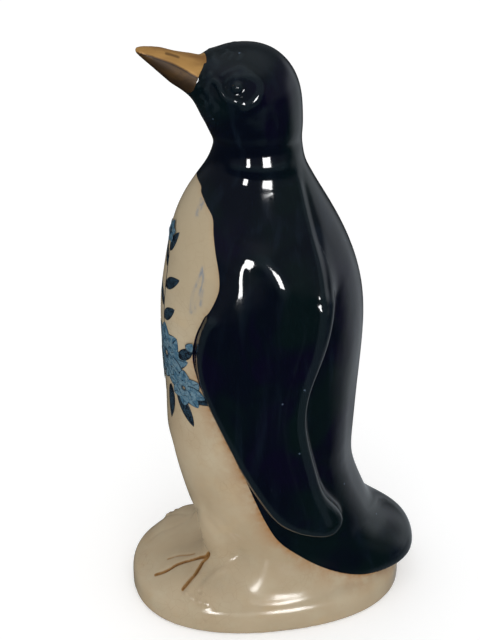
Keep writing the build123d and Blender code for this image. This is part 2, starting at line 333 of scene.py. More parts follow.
# the flipper's swollen shoulder, and a flute in front of it
FLIPPER_SHOULDER = (
    (26.5, -21.0, 176.0), (29.5, -16.5, 178.5), (32.5, -9.5, 176.0), (36.0, -4.0, 167.0),
    (38.0, -1.0, 157.0),
)
tool(FLIPPER_SHOULDER, 5.0, 1.2)
tool([(24.0, -23.0, 184.0), (28.0, -23.4, 176.3), (31.6, -24.7, 166.1), (33.6, -27.1, 156.3)], 2.8, -0.2)
# the step where the cape's rear edge runs down from the nape into the flipper
CAPE_STEP = (
    (14.6, 8.0, 206.0), (20.5, 9.0, 194.5), (27.0, 11.0, 181.5), (33.0, 12.5, 167.5),
    (36.4, 12.9, 156.0),
)
tool(CAPE_STEP, 2.0, 0.5)
CAPE_HOLLOW = (
    (14.0, 10.6, 205.0), (20.0, 12.2, 193.5), (26.0, 14.6, 180.5), (31.6, 16.3, 167.0),
    (35.0, 16.0, 156.0),
)
tool(CAPE_HOLLOW, 2.0, -0.4)
# the roll along the flipper's rear and lower edge, with a hollow in front of it
FLIPPER_ROLL = (
    (34.9, 13.0, 160.2), (37.6, 11.8, 147.6), (39.1, 9.0, 135.1), (40.4, 4.9, 122.1),
    (40.7, 2.9, 108.2), (40.4, 5.0, 93.0), (39.1, 10.0, 71.4), (38.1, 15.7, 54.4),
    (37.6, 18.3, 47.9),
)
tool(FLIPPER_ROLL, 2.6, 0.8)
FLIPPER_HOLLOW = (
    (37.0, 9.0, 158.2), (38.1, 6.9, 144.6), (39.5, 3.0, 130.1), (40.2, -0.4, 112.1),
    (40.4, 0.6, 95.0), (39.6, 5.0, 74.4), (38.6, 10.6, 56.4),
)
tool(FLIPPER_HOLLOW, 2.0, -0.5)
FLIPPER_LOWER_EDGE = (
    (36.0, -22.5, 88.0), (37.0, -13.5, 69.0), (38.6, -5.4, 56.0), (36.6, 4.0, 46.6),
    (36.0, 13.0, 43.6),
)
tool(FLIPPER_LOWER_EDGE, 1.2, 0.4)
# the bill's ridge
BILL_RIDGE = (
    (0.0, -55.0, 257.5), (0.0, -49.0, 256.5), (0.0, -42.0, 255.0), (0.0, -36.0, 253.5),
)
tool(BILL_RIDGE, 4.5, 1.0, sides=(1,))
NOSTRIL = ((2.2, -43.6, 254.4), (2.2, -41.3, 253.8), (2.8, -39.1, 253.1))
tool(NOSTRIL, 0.7, -0.4)
# the cleft between the legs, and the hollow where the shin meets the mound
LEG_CLEFT = (
    (0.0, -47.0, 75.0), (0.0, -41.0, 60.0), (0.0, -34.0, 46.0), (0.0, -29.0, 36.0),
    (0.0, -31.0, 27.0),
)
tool(LEG_CLEFT, 4.0, -2.2, sides=(1,))
SHIN_HOLLOW = (
    (20.3, -34.3, 58.2), (20.4, -33.1, 50.2), (23.2, -31.0, 46.7), (25.5, -27.4, 42.6),
    (29.0, -20.0, 39.0),
)
tool(SHIN_HOLLOW, 2.6, -0.55)
# the toes' creases, their claws and the edge of the web
CREASES = (
    ((17.5, -34.0, 27.0), (14.2, -35.8, 22.8), (13.1, -43.7, 19.7), (13.6, -49.0, 17.2), (12.4, -54.7, 15.2)),
    ((18.4, -33.6, 27.4), (17.4, -34.0, 23.0), (20.0, -36.4, 20.8), (22.6, -38.8, 19.8), (26.5, -44.8, 16.7)),
    ((10.6, -37.3, 23.3), (7.8, -43.7, 20.6), (7.4, -48.0, 18.4)),
)
for crease, width, depth in zip(CREASES, (0.8, 0.9, 0.8), (-0.8, -0.9, -0.35)):
    tool(crease, width, depth, sides=(1,))
    tool(crease, 1.4, 0.25 * depth, sides=(-1,))
WEB_EDGE = (
    (19.0, -33.0, 25.0), (22.4, -35.4, 21.6), (26.2, -39.8, 19.0), (29.4, -43.4, 16.0),
)
tool(WEB_EDGE, 1.5, 0.75, sides=(1,))
OUTER_TOE = (
    (27.0, -24.4, 26.0), (25.6, -29.6, 23.4), (28.6, -34.6, 20.6), (32.4, -37.6, 17.6),
)
tool(OUTER_TOE, 1.6, 0.6, sides=(1,))
for claw in ((28.2, -43.0, 15.4), (30.6, -41.6, 14.6), (33.4, -38.9, 14.4), (34.9, -36.4, 14.0)):
    tool([claw], 1.3, 0.9)
# small pits, at the end of each outer toe and in the plinth's left side
tool([(31.6, -38.2, 18.4)], 0.9, -0.7)
tool([(36.9, -37.0, 6.2)], 0.7, -0.5, sides=(1,))
places = SCULPT["places"] + normals * SCULPT["lift"][:, None]
skin.vertices.foreach_set("co", places.ravel())
skin.update()


def keep(mesh, name, values):
    """Keep a value a point on a mesh for its material."""
    mesh.attributes.new(name, "FLOAT", "POINT").data.foreach_set("value", values.astype(np.float32))


# how far each point stands above its surroundings: 0 up to 0.04 mm, 1 from 0.14 mm
CREST_START = 0.4
CREST_RISE = 0.1 * MM
levelled = sponge_away(places, np.ones(len(places)), 24)
rise = ((places - levelled) * normals).sum(1) / CREST_RISE
keep(skin, "crest", np.clip(rise - CREST_START, 0, 1))


BRUSH_END = 4


def marked(name, lines, width):
    """Mark lines on the left side of the skin, for a brush and for painted shade: 1 on a line, 0 away from it."""
    most = np.zeros(len(SCULPT["places"]))
    for points, strength in lines:
        gaps = distance(SCULPT["places"], trail(points), BRUSH_END * width * MM)
        most = np.maximum(most, strength * np.exp(-((gaps / (width * MM)) ** 2)))
    keep(skin, name, most)


# flicks of blue-grey on the cream breast, beside the brush's edge of the dark glaze
FLICKS = (
    (((10.6, -33.0, 196.6), (11.4, -33.6, 193.6), (12.2, -34.1, 190.2)), 1.0),
    (((11.8, -32.6, 196.0), (12.4, -33.2, 193.0)), 0.8),
    (((22.1, -33.4, 171.8), (22.0, -35.1, 166.5), (21.3, -37.4, 159.1), (21.7, -38.4, 152.0)), 1.0),
    (((23.0, -33.4, 169.5), (23.2, -34.4, 164.0), (22.6, -36.4, 157.0), (22.9, -37.2, 152.5)), 0.8),
    (((24.0, -33.8, 162.9), (24.2, -35.1, 156.3)), 0.7),
)
BRUSH_WIDTH = 0.75
NOSTRIL_WIDTH = 0.8
marked("gilt", zip(CREASES, (1.0, 1.0, 0.35)), BRUSH_WIDTH)
marked("flick", FLICKS, BRUSH_WIDTH)
# the nostrils are marked for painted shade on the gilded bill
marked("nostril", ((NOSTRIL, 1.0),), NOSTRIL_WIDTH)
casting = placed("casting", skin)

# How the casting is parted: the real one is in one piece, and these cuts only divide its skin
# by glaze and by moulded piece. Each is a prism right across the bird, whose outline in side
# view is the edge of a glaze, the gape or the foot of a flipper.
SPAN = 70 * MM
FLIPPER_ROOT = 15 * MM


def prism(name, outline, near=-SPAN, far=SPAN):
    """A closed prism across the bird, from its outline in side view."""
    block = bmesh.new()
    face = block.faces.new([block.verts.new((near, y, z)) for y, z in outline])
    grown = bmesh.ops.extrude_face_region(block, geom=[face])["geom"]
    bmesh.ops.translate(
        block, verts=[v for v in grown if isinstance(v, bmesh.types.BMVert)], vec=(far - near, 0, 0)
    )
    bmesh.ops.recalc_face_normals(block, faces=block.faces)
    mesh = bpy.data.meshes.new(name)
    block.to_mesh(mesh)
    return placed(name, mesh)


def closed(line, *corners):
    """A line in side view, closed by corners in millimetres that lie well off the bird."""
    return [*line, *(np.array(corners) * MM)]


def cut(name, source, knife_block, keep_inside):
    """The part of a piece inside or outside a cutting block."""
    knife = source.modifiers.new("knife", "BOOLEAN")
    knife.operation = "INTERSECT" if keep_inside else "DIFFERENCE"
    knife.solver = "MANIFOLD"
    knife.object = knife_block
    piece = placed(name, evaluated(source))
    source.modifiers.clear()
    return piece


def parted(source, knife_block, inside_name, outside_name):
    """Part a piece in two with a cutting block; the piece and the block are used up."""
    inside = cut(inside_name, source, knife_block, True)
    outside = cut(outside_name, source, knife_block, False)
    bpy.data.objects.remove(source)
    bpy.data.objects.remove(knife_block)
    return inside, outside


# The brush's edge of the dark glaze, from the throat down the breast and along the flipper's
# front edge to the tail, drawn by hand and so never quite even
GLAZE_LINE = smooth_line(
    [
        (-40.0, 201.2),
        (-32.0, 200.1),
        (-31.6, 197.6),
        (-30.4, 194.6),
        (-28.7, 191.0),
        (-28.9, 185.3),
        (-28.6, 178.0),
        (-27.9, 170.9),
        (-28.2, 165.2),
        (-30.2, 159.6),
        (-34.4, 150.4),
        (-37.3, 141.3),
        (-38.3, 131.5),
        (-36.9, 122.9),
        (-34.1, 113.9),
        (-29.8, 103.0),
        (-24.4, 91.5),
        (-18.9, 77.3),
        (-14.2, 64.2),
        (-9.4, 52.1),
        (-3.9, 42.1),
        (5.2, 33.4),
        (14.3, 26.0),
        (23.4, 20.6),
        (32.7, 17.2),
        (42.3, 15.8),
        (60.0, 14.6),
        (80.0, 14.6),
    ]
) * MM
FLIPPER_OUTLINE = [
    (-23.0, 180.3),
    (-28.7, 162.5),
    (-36.0, 144.7),
    (-37.3, 128.9),
    (-34.0, 115.0),
    (-26.7, 96.6),
    (-12.0, 65.5),
    (-2.3, 52.6),
    (10.0, 45.7),
    (19.7, 44.7),
    (23.2, 48.3),
    (17.5, 61.5),
    (10.4, 80.3),
    (6.0, 101.5),
    (6.9, 118.0),
    (13.3, 135.4),
    (17.5, 151.6),
    (17.0, 168.5),
    (9.1, 183.3),
    (-7.6, 191.2),
]
closed_flipper = smooth_line([*FLIPPER_OUTLINE, FLIPPER_OUTLINE[0]])[:-1] * MM
BILL_LINE = smooth_line(
    [
        (-27.0, 262.0),
        (-28.2, 252.2),
        (-29.7, 250.4),
        (-31.8, 247.2),
        (-33.3, 243.6),
        (-34.4, 240.6),
        (-37.0, 238.0),
        (-42.0, 235.0),
        (-50.0, 232.0),
    ]
) * MM
GAPE_LINE = smooth_line(
    [
        (-66.0, 257.6),
        (-51.2, 254.9),
        (-47.9, 253.9),
        (-44.3, 252.6),
        (-40.6, 251.0),
        (-36.6, 248.8),
        (-33.0, 246.6),
        (-20.0, 240.0),
    ]
) * MM

bill_knife = prism("bill_knife", closed(BILL_LINE, (-90, 232), (-90, 280), (-27, 280)))
bill, bird = parted(casting, bill_knife, "bill", "bird")
gape_knife = prism("gape_knife", closed(GAPE_LINE, (-20, 220), (-80, 220), (-80, 257.6)))
lower_bill, upper_bill = parted(bill, gape_knife, "lower_bill_gilded", "upper_bill_gilded")
glaze_knife = prism("glaze_knife", closed(GLAZE_LINE, (80, 280), (-80, 280), (-80, 201.2)))
dark, cream = parted(bird, glaze_knife, "dark_bird", "breast_and_plinth_glazed")
left_knife = prism("left_knife", closed_flipper, FLIPPER_ROOT, SPAN)
left_flipper, dark = parted(dark, left_knife, "left_flipper_glazed", "dark_body")
right_knife = prism("right_knife", closed_flipper, -SPAN, -FLIPPER_ROOT)
right_flipper, dark = parted(dark, right_knife, "right_flipper_glazed", "hood_and_back_glazed")

# The dark glaze: a thick blue-black glaze that pools violet, navy and sea-green, runs downward
# in faint streaks, thins to blue-grey on every crest and holds a few pale pinheads of tin.


class Shader:
    """A node material under construction."""

    def __init__(self, name):
        self.material = bpy.data.materials.new(name)
        self.material.use_nodes = True
        self.tree = self.material.node_tree
        self.out = self.tree.nodes["Principled BSDF"]
        self.object = self.add("ShaderNodeTexCoord").outputs["Object"]

    def add(self, kind, inputs=None, **settings):
        """A node with its settings; inputs are values or other nodes' outputs."""
        node = self.tree.nodes.new(kind)
        for key, value in settings.items():
            setattr(node, key, value)
        for key, value in (inputs or {}).items():
            self.feed(node.inputs[key], value)
        return node

    def feed(self, socket, value):
        """Set a socket to a value or link it to an output."""
        if isinstance(value, bpy.types.NodeSocket):
            self.tree.links.new(value, socket)
        elif isinstance(value, tuple) and len(value) == 3 and socket.type == "RGBA":
            socket.default_value = (*value, 1)
        else:
            socket.default_value = value

    def noise(self, scale, detail=3.0, roughness=0.5, stretch=None, shift=(0, 0, 0), distortion=0.0):
        """A noise value at so many waves a metre, stretched along the axes if asked."""
        place = self.add(
            "ShaderNodeMapping", {"Vector": self.object, "Location": shift, "Scale": stretch or (1, 1, 1)}
        )
        node = self.add(
            "ShaderNodeTexNoise",
            {
                "Vector": place.outputs[0],
                "Scale": scale,
                "Detail": detail,
                "Roughness": roughness,
                "Distortion": distortion,
            },
        )
        return node.outputs["Fac"]

    def ramp(self, value, low, high, start=0.0, end=1.0):
        """A value spread smoothly from one range to another, held at its ends."""
        node = self.add(
            "ShaderNodeMapRange",
            {"Value": value, "From Min": low, "From Max": high, "To Min": start, "To Max": end},
            interpolation_type="SMOOTHSTEP",
        )
        return node.outputs[0]

    def sum(self, kind, first, second):
        """One sum of two values."""
        return self.add("ShaderNodeMath", {0: first, 1: second}, operation=kind).outputs[0]

    def specks(self, scale, inside, outside):
        """Small round specks in one cell of ten, at so many cells a metre."""
        cells = self.add("ShaderNodeTexVoronoi", {"Vector": self.object, "Scale": scale}).outputs
        lucky = self.add("ShaderNodeSeparateColor", {"Color": cells["Color"]}).outputs[0]
        disc = self.ramp(cells["Distance"], inside, outside, 1, 0)
        return self.sum("MULTIPLY", disc, self.ramp(lucky, 0.90, 0.91))

    def mix(self, share, first, second):
        """Two colours mixed by a share."""
        node = self.add("ShaderNodeMix", data_type="RGBA")
        self.feed(node.inputs[0], share)
        self.feed(node.inputs[6], first)
        self.feed(node.inputs[7], second)
        return node.outputs[2]

    def attribute(self, name):
        """A value painted on the piece's points."""
        return self.add("ShaderNodeAttribute", attribute_name=name).outputs["Fac"]

    def bump(self, height, reach, strength=1.0, below=None):
        """Relief of a height value that is worth so many metres."""
        node = self.add("ShaderNodeBump", {"Height": height, "Distance": reach, "Strength": strength})
        if below is not None:
            self.feed(node.inputs["Normal"], below)
        return node.outputs[0]

    def finish(self, **sockets):
        """Feed the shader's own sockets and give back the material."""
        for key, value in sockets.items():
            self.feed(self.out.inputs[key.replace("_", " ")], value)
        return self.material


NAVY = (0.0010, 0.0022, 0.0062)
SEA_GREEN = (0.0014, 0.0052, 0.0062)
VIOLET = (0.0018, 0.0016, 0.0086)
RUN_BLUE = (0.0044, 0.0090, 0.0170)
THIN_GREY = (0.0090, 0.0150, 0.0190)
TIN = (0.10, 0.14, 0.20)


def dark_glaze():
    """Blue-black glaze."""
    glaze = Shader("dark_glaze")
    pool = glaze.noise(26, 2, shift=(0.31, 0.12, 0.4), distortion=0.6)
    tone = glaze.noise(34, 3, shift=(0.9, 0.2, 0.1), distortion=0.8)
    run = glaze.noise(150, 3, stretch=(1, 1, 0.12), distortion=0.5)
    colour = glaze.mix(glaze.ramp(pool, 0.42, 0.62), NAVY, SEA_GREEN)
    colour = glaze.mix(glaze.ramp(tone, 0.50, 0.68), colour, VIOLET)
    colour = glaze.mix(glaze.ramp(run, 0.50, 0.76, 0, 0.6), colour, RUN_BLUE)
    colour = glaze.mix(glaze.ramp(glaze.attribute("crest"), 0.1, 1.0, 0, 0.6), colour, THIN_GREY)
    colour = glaze.mix(glaze.sum("MULTIPLY", glaze.specks(170.0, 0.05, 0.09), 0.55), colour, TIN)
    flow = glaze.bump(glaze.noise(60, 2), 0.45 * MM, 0.5)
    peel = glaze.bump(glaze.noise(420, 2), 0.05 * MM, 0.35, flow)
    return glaze.finish(
        Base_Color=colour, Roughness=glaze.ramp(run, 0.3, 0.8, 0.05, 0.10), Normal=peel, IOR=1.6
    )


DARK_GLAZE = dark_glaze()
SHARP_EDGE = radians(55)


def finish(piece, material, nodes):
    """Give a piece its material and its place in the frame."""
    piece.data.materials.clear()
    piece.data.materials.append(material)
    piece.data.shade_smooth()
    piece.data.set_sharp_from_angle(angle=SHARP_EDGE)
    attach(piece, "root")
    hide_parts(*nodes)


for piece, nodes in (
    (dark, ("hood_and_back", "tail", "left_eye", "right_eye")),
    (left_flipper, ("left_flipper",)),
    (right_flipper, ("right_flipper",)),
):
    finish(piece, DARK_GLAZE, nodes)

# The cream glaze: a warm clear glaze over a cream slip on breast, plinth and feet. It is finely
# crazed, stained orange where the dark glaze bleeds into it, and gilded in the feet's creases.


DEEP_CREAM = (0.400, 0.325, 0.215)
PALE_CREAM = (0.470, 0.395, 0.275)
WARM_CREAM = (0.47, 0.36, 0.22)
CRAZE_BROWN = (0.22, 0.15, 0.08)
BLEED_ORANGE = (0.33, 0.165, 0.062)
FLICK_BLUE = (0.145, 0.19, 0.25)
GILT = (0.26, 0.125, 0.032)
GILT_LINE_CORE = (0.115, 0.048, 0.013)
IRON_SPOT = (0.16, 0.11, 0.07)


def cream_glaze():
    """Cream glaze."""
    glaze = Shader("cream_glaze")
    cloud = glaze.noise(22, 4, shift=(0.2, 0.5, 0.3))
    colour = glaze.mix(glaze.ramp(cloud, 0.3, 0.7), DEEP_CREAM, PALE_CREAM)
    warmth = glaze.ramp(glaze.noise(60, 3, shift=(0.7, 0.1, 0.9)), 0.56, 0.75, 0, 0.5)
    colour = glaze.mix(warmth, colour, WARM_CREAM)
    wander = glaze.add("ShaderNodeTexNoise", {"Vector": glaze.object, "Scale": 90.0}).outputs["Color"]
    place = glaze.add("ShaderNodeMixRGB", {0: 0.006, 1: glaze.object, 2: wander}).outputs[0]
    craze = glaze.add(
        "ShaderNodeTexVoronoi", {"Vector": place, "Scale": 260.0}, feature="DISTANCE_TO_EDGE"
    ).outputs["Distance"]
    patch = glaze.ramp(glaze.noise(30, 2, shift=(0.4, 0.8, 0.2)), 0.4, 0.65)
    crack = glaze.sum("MULTIPLY", glaze.ramp(craze, 0.0, 0.035, 1, 0), patch)
    colour = glaze.mix(glaze.sum("MULTIPLY", crack, 0.22), colour, CRAZE_BROWN)
    broken = glaze.ramp(glaze.noise(110, 5, 0.6, shift=(0.3, 0.9, 0.1)), 0.30, 0.60, 0.15, 1.0)
    bleed = glaze.sum("MULTIPLY", glaze.attribute("bleed"), broken)
    colour = glaze.mix(glaze.sum("MULTIPLY", bleed, 0.9), colour, BLEED_ORANGE)
    hairs = glaze.ramp(glaze.noise(420, 3, stretch=(1, 1, 0.25), distortion=0.6), 0.38, 0.62, 0.15, 0.95)
    colour = glaze.mix(glaze.sum("MULTIPLY", glaze.attribute("flick"), hairs), colour, FLICK_BLUE)
    rubbed = glaze.ramp(glaze.noise(260, 3, shift=(0.8, 0.3, 0.5)), 0.3, 0.55, 0.6, 1.0)
    gilt = glaze.sum("MULTIPLY", glaze.attribute("gilt"), rubbed)
    colour = glaze.mix(glaze.ramp(gilt, 0.06, 0.45, 0, 0.95), colour, GILT)
    # the gilt turns darker brown along the middle of each crease line
    colour = glaze.mix(glaze.ramp(gilt, 0.45, 0.9, 0, 0.8), colour, GILT_LINE_CORE)
    colour = glaze.mix(glaze.sum("MULTIPLY", glaze.specks(95.0, 0.02, 0.05), 0.5), colour, IRON_SPOT)
    flow = glaze.bump(glaze.noise(55, 2), 0.5 * MM, 0.5)
    return glaze.finish(
        Base_Color=colour, Roughness=glaze.ramp(cloud, 0.3, 0.7, 0.14, 0.22), Normal=flow, IOR=1.5
    )


# the stain runs 4.5 mm into the cream below the breast, with a narrow dark line along its edge
BLEED_REACH = 4.5
BLEED_LINE = 0.7
here = read(cream.data, "co")
edge = np.array([(0, y, z) for y, z in GLAZE_LINE[::3]])
gap = distance(here * (0, 1, 1), edge, 9 * MM) / MM
stain = np.exp(-gap / BLEED_REACH) * soft_step(-here[:, 2], -150 * MM, -90 * MM)
keep(cream.data, "bleed", stain + 0.5 * np.exp(-gap / BLEED_LINE))
finish(cream, cream_glaze(), ("breast_and_belly", "plinth", "left_foot", "right_foot"))

# The painted spray: blossoms in blue and leaves in ink, brushed by hand on the breast.
# Each dab of the brush is a thin closed film of colour that lies on the cream glaze.
FILM = 0.07 * MM
FILM_STEP = 0.012 * MM
DAB_ROWS = 14
DAB_COLUMNS = 8


def dab():
    """One dab of the brush, a pointed closed film one metre long; the spray scales it."""
    shape = bmesh.new()
    along, across = shape.verts.layers.float.new("along"), shape.verts.layers.float.new("across")

    def point(row, column, side):
        share = row / DAB_ROWS
        breadth = 0.5 * sin(pi * share**0.8) ** 0.75
        over = 2 * column / DAB_COLUMNS - 1
        vert = shape.verts.new((share, over * breadth, side * (1 - over * over) ** 0.5))
        vert[along], vert[across] = share, over
        return vert

    root, tip = point(0, DAB_COLUMNS / 2, 0), point(DAB_ROWS, DAB_COLUMNS / 2, 0)
    film = {}
    for row in range(1, DAB_ROWS):
        for column in range(DAB_COLUMNS + 1):
            upper = point(row, column, 1)
            film[row, column, 1] = upper
            film[row, column, -1] = upper if column in (0, DAB_COLUMNS) else point(row, column, -1)
    for side in (1, -1):
        for column in range(DAB_COLUMNS):
            left = [film[row, column, side] for row in range(1, DAB_ROWS)]
            right = [film[row, column + 1, side] for row in range(1, DAB_ROWS)]
            for row in range(DAB_ROWS - 2):
                shape.faces.new([left[row], left[row + 1], right[row + 1], right[row]][::side])
            shape.faces.new([root, left[0], right[0]][::side])
            shape.faces.new([tip, right[-1], left[-1]][::side])
    mesh = bpy.data.meshes.new("dab")
    shape.to_mesh(mesh)
    return placed("dab", mesh)


def spray_tree():
    """Geometry nodes that lay one dab on every point, turned and scaled as the point says."""
    tree = bpy.data.node_groups.new("spray", "GeometryNodeTree")
    for name, kind in (("Geometry", "Geometry"), ("Dab", "Object"), ("Colour", "Material")):
        tree.interface.new_socket(name=name, in_out="INPUT", socket_type=f"NodeSocket{kind}")
    tree.interface.new_socket(name="Geometry", in_out="OUTPUT", socket_type="NodeSocketGeometry")
    start, end = tree.nodes.new("NodeGroupInput"), tree.nodes.new("NodeGroupOutput")
    info = tree.nodes.new("GeometryNodeObjectInfo")
    lay = tree.nodes.new("GeometryNodeInstanceOnPoints")
    turn, size = (tree.nodes.new("GeometryNodeInputNamedAttribute") for _ in range(2))
    turn.data_type = size.data_type = "FLOAT_VECTOR"
    turn.inputs["Name"].default_value = "turn"
    size.inputs["Name"].default_value = "size"
    euler = tree.nodes.new("FunctionNodeEulerToRotation")
    real = tree.nodes.new("GeometryNodeRealizeInstances")
    dress = tree.nodes.new("GeometryNodeSetMaterial")
    link = tree.links.new
    link(start.outputs["Geometry"], lay.inputs["Points"])
    link(start.outputs["Dab"], info.inputs["Object"])
    link(info.outputs["Geometry"], lay.inputs["Instance"])
    link(turn.outputs["Attribute"], euler.inputs[0])
    link(euler.outputs[0], lay.inputs["Rotation"])
    link(size.outputs["Attribute"], lay.inputs["Scale"])
    link(lay.outputs["Instances"], real.inputs["Geometry"])
    link(real.outputs["Geometry"], dress.inputs["Geometry"])
    link(start.outputs["Colour"], dress.inputs["Material"])
    link(dress.outputs["Geometry"], end.inputs["Geometry"])
    return tree


def dab_colour(name, middle, edge, ink):
    """A watery colour that is darker in the vein and along the dab's edge."""
    colour = Shader(name)
    wash = colour.mix(colour.ramp(colour.noise(380, 4, 0.6, distortion=1.2), 0.40, 0.60), edge, middle)
    wash = colour.mix(colour.ramp(colour.noise(700, 2, shift=(0.5, 0.2, 0.9)), 0.60, 0.72, 0, 0.6), wash, ink)
    across = colour.add("ShaderNodeMath", {0: colour.attribute("across")}, operation="ABSOLUTE").outputs[0]
    border = colour.ramp(across, 0.74, 0.95)
    along = colour.attribute("along")
    vein = colour.sum("MULTIPLY", colour.ramp(across, 0.05, 0.13, 1, 0), colour.ramp(along, 0.75, 0.5, 1, 0))
    root = colour.ramp(along, 0.30, 0.08, 0, 1)
    line = colour.sum("MAXIMUM", colour.sum("MAXIMUM", border, vein), root)
    tint = colour.mix(colour.sum("MULTIPLY", line, 0.8), wash, ink)
    return colour.finish(Base_Color=tint, Roughness=0.16, IOR=1.5)


SPRAY_TREE = spray_tree()
DAB = dab()
IN_FRONT = -90 * MM


def painted(name, dabs, colour, lift):
    """A piece of many dabs: each is its root's place, its direction in degrees, length and width.

    The dabs lie on the breast, each a little higher than the one before.
    """
    points = bpy.data.meshes.new(name)
    points.from_pydata([(x * MM, z * MM, FILM_STEP * step) for step, (x, z, *_) in enumerate(dabs)], [], [])
    turns = points.attributes.new("turn", "FLOAT_VECTOR", "POINT")
    turns.data.foreach_set("vector", [v for *_, turn, _, _ in dabs for v in (0, 0, radians(turn))])
    sizes = points.attributes.new("size", "FLOAT_VECTOR", "POINT")
    sizes.data.foreach_set("vector", [v for *_, long, wide in dabs for v in (long * MM, wide * MM, FILM)])
    flat = placed("flat_" + name, points)
    lay = flat.modifiers.new("lay", "NODES")
    lay.node_group = SPRAY_TREE
    sockets = {item.name: item.identifier for item in SPRAY_TREE.interface.items_tree if item.in_out == "INPUT"}
    lay[sockets["Dab"]] = DAB
    lay[sockets["Colour"]] = colour
    mesh = evaluated(flat)
    bpy.data.objects.remove(flat)
    for vert in mesh.vertices:
        across, up, thick = vert.co
        hit, out, _, _ = UNSCULPTED.ray_cast(Vector((across, IN_FRONT, up)), Vector((0, 1, 0)))
        vert.co = hit + out * (thick + lift * MM)
    mesh.update()
    piece = placed(name, mesh)
    piece.data.shade_smooth()
    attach(piece, "root")


HEART_SHARE = 0.12
PETAL_BREADTH = 0.78


def blossom(x, z, radius, petals, start):
    """Dabs round the middle of a blossom."""
    heart = HEART_SHARE * radius
    turns = [start + 360 * petal / petals for petal in range(petals)]
    return [
        (x + heart * cos(radians(turn)), z + heart * sin(radians(turn)), turn, radius, radius * PETAL_BREADTH)
        for turn in turns
    ]


BLUE = dab_colour("brushed_blue", (0.130, 0.215, 0.265), (0.040, 0.105, 0.165), (0.006, 0.014, 0.030))
INK = dab_colour("brushed_ink", (0.018, 0.040, 0.062), (0.006, 0.012, 0.020), (0.003, 0.003, 0.005))
painted(
    "painted_leaves",
    [
        (6, 134, 96, 42, 0.9),
        (4.5, 146, 140, 13, 5.0),
        (5.0, 141, 42, 12, 5.0),
        (3.6, 155, 35, 13, 5.0),
        (2.8, 163, 128, 12, 4.6),
        (2.0, 170, 62, 12, 4.4),
        (14.0, 112, -62, 17, 6.0),
        (9.0, 111, -96, 18, 6.4),
        (20.0, 113, -8, 9.5, 6.0),
        (-4.0, 108, -118, 15, 5.4),
        (-15.0, 121, 168, 13, 5.0),
        (-9.0, 134, 118, 15, 5.2),
        (17.0, 128, 48, 10, 4.4),
    ],
    INK,
    0.0,
)
painted(
    "painted_blossoms",
    [
        *blossom(7.0, 125.0, 13.0, 9, 12),
        *blossom(7.0, 125.0, 7.5, 7, 30),
        *blossom(18.5, 114.5, 8.0, 8, 40),
        *blossom(18.5, 114.5, 4.4, 6, 10),
        *blossom(-8.0, 114.0, 9.0, 8, 5),
        *blossom(-8.0, 114.0, 5.0, 6, 25),
        *blossom(0.6, 178.0, 4.6, 6, 20),
        (-13.5, 141.0, 100, 6.0, 4.2),
        (21.5, 134.0, 62, 5.0, 3.6),
    ],
    BLUE,
    0.06,
)
bpy.data.objects.remove(DAB)

# The bill: its upper and lower halves are cast with the head and parted by the modeller's knife
# along the gape. Liquid gold is brushed over their glaze, fired on and rubbed, yellow above; below,
# the gold is painted darker brown as shade under the bill, and painted shade darkens gape and nostrils.


def gilding(name, pale, deep, crease_shade):
    """Rubbed gold, with painted shade along the gape and in the nostrils."""
    gold = Shader(name)
    brushed = gold.noise(190, 4, stretch=(1, 0.22, 0.5), distortion=0.4)
    colour = gold.mix(gold.ramp(brushed, 0.36, 0.68), deep, pale)
    colour = gold.mix(gold.ramp(gold.noise(320, 3, shift=(0.4, 0.1, 0.6)), 0.60, 0.78, 0, 0.6), colour, deep)
    # painted shade: the gold darkens to the shade colour along the gape and in the nostrils
    gape = gold.ramp(gold.attribute("gape"), 0.2, 0.9, 0, 0.85)
    nostril = gold.ramp(gold.attribute("nostril"), 0.3, 0.9, 0, 0.7)
    colour = gold.mix(gold.sum("MAXIMUM", gape, nostril), colour, crease_shade)
    relief = gold.bump(brushed, 0.18 * MM, 0.5)
    return gold.finish(
        Base_Color=colour, Metallic=0.2, Roughness=gold.ramp(brushed, 0.3, 0.7, 0.5, 0.34), Normal=relief, IOR=1.35
    )


GAPE_SHADE_WIDTH = 0.55
YELLOW_GOLD = gilding("upper_gilding", (0.44, 0.245, 0.075), (0.26, 0.125, 0.034), (0.07, 0.032, 0.011))
# painted shade: the lower half gets the same rubbed gold made much darker, for the shade under the bill
SHADED_LOWER_GOLD = gilding("lower_gilding", (0.085, 0.042, 0.010), (0.028, 0.014, 0.005), (0.018, 0.010, 0.005))
gape_edge = np.array([(0, y, z) for y, z in GAPE_LINE])
for piece, node, material, slot in (
    (upper_bill, "upper_bill", YELLOW_GOLD, "upper_gilding"),
    (lower_bill, "lower_bill", SHADED_LOWER_GOLD, "lower_gilding"),
):
    # painted shade along the gape, darkest where the two halves meet
    gap = distance(read(piece.data, "co") * (0, 1, 1), gape_edge, 3 * MM) / MM
    keep(piece.data, "gape", np.exp(-((gap / GAPE_SHADE_WIDTH) ** 2)))
    finish(piece, material, (node,))

# The studio: a pale table in an even pale room, and soft daylight from the camera's side. The
# glaze alone also mirrors a window of two narrow panes and a dark tent with one paler wall, as
# black flags and white cards are set up round a glossy pot.
AZIMUTH = radians(80)
ELEVATION = radians(31)
DISTANCE = 0.8
LENS = 108.49
SENSOR = 36
AIM = (-0.01163, 0.13176)
to_right = Vector((cos(AZIMUTH), sin(AZIMUTH), 0))
to_camera = Vector((sin(AZIMUTH) * cos(ELEVATION), -cos(AZIMUTH) * cos(ELEVATION), sin(ELEVATION)))
camera = bpy.data.objects.new("camera", bpy.data.cameras.new("camera"))
camera.data.lens = LENS
camera.data.sensor_width = SENSOR
camera.location = to_right * AIM[0] + Vector((0, -3 * MM, AIM[1])) + to_camera * DISTANCE
camera.rotation_euler = to_camera.to_track_quat("Z", "Y").to_euler()
SCENE.objects.link(camera)
bpy.context.scene.camera = camera

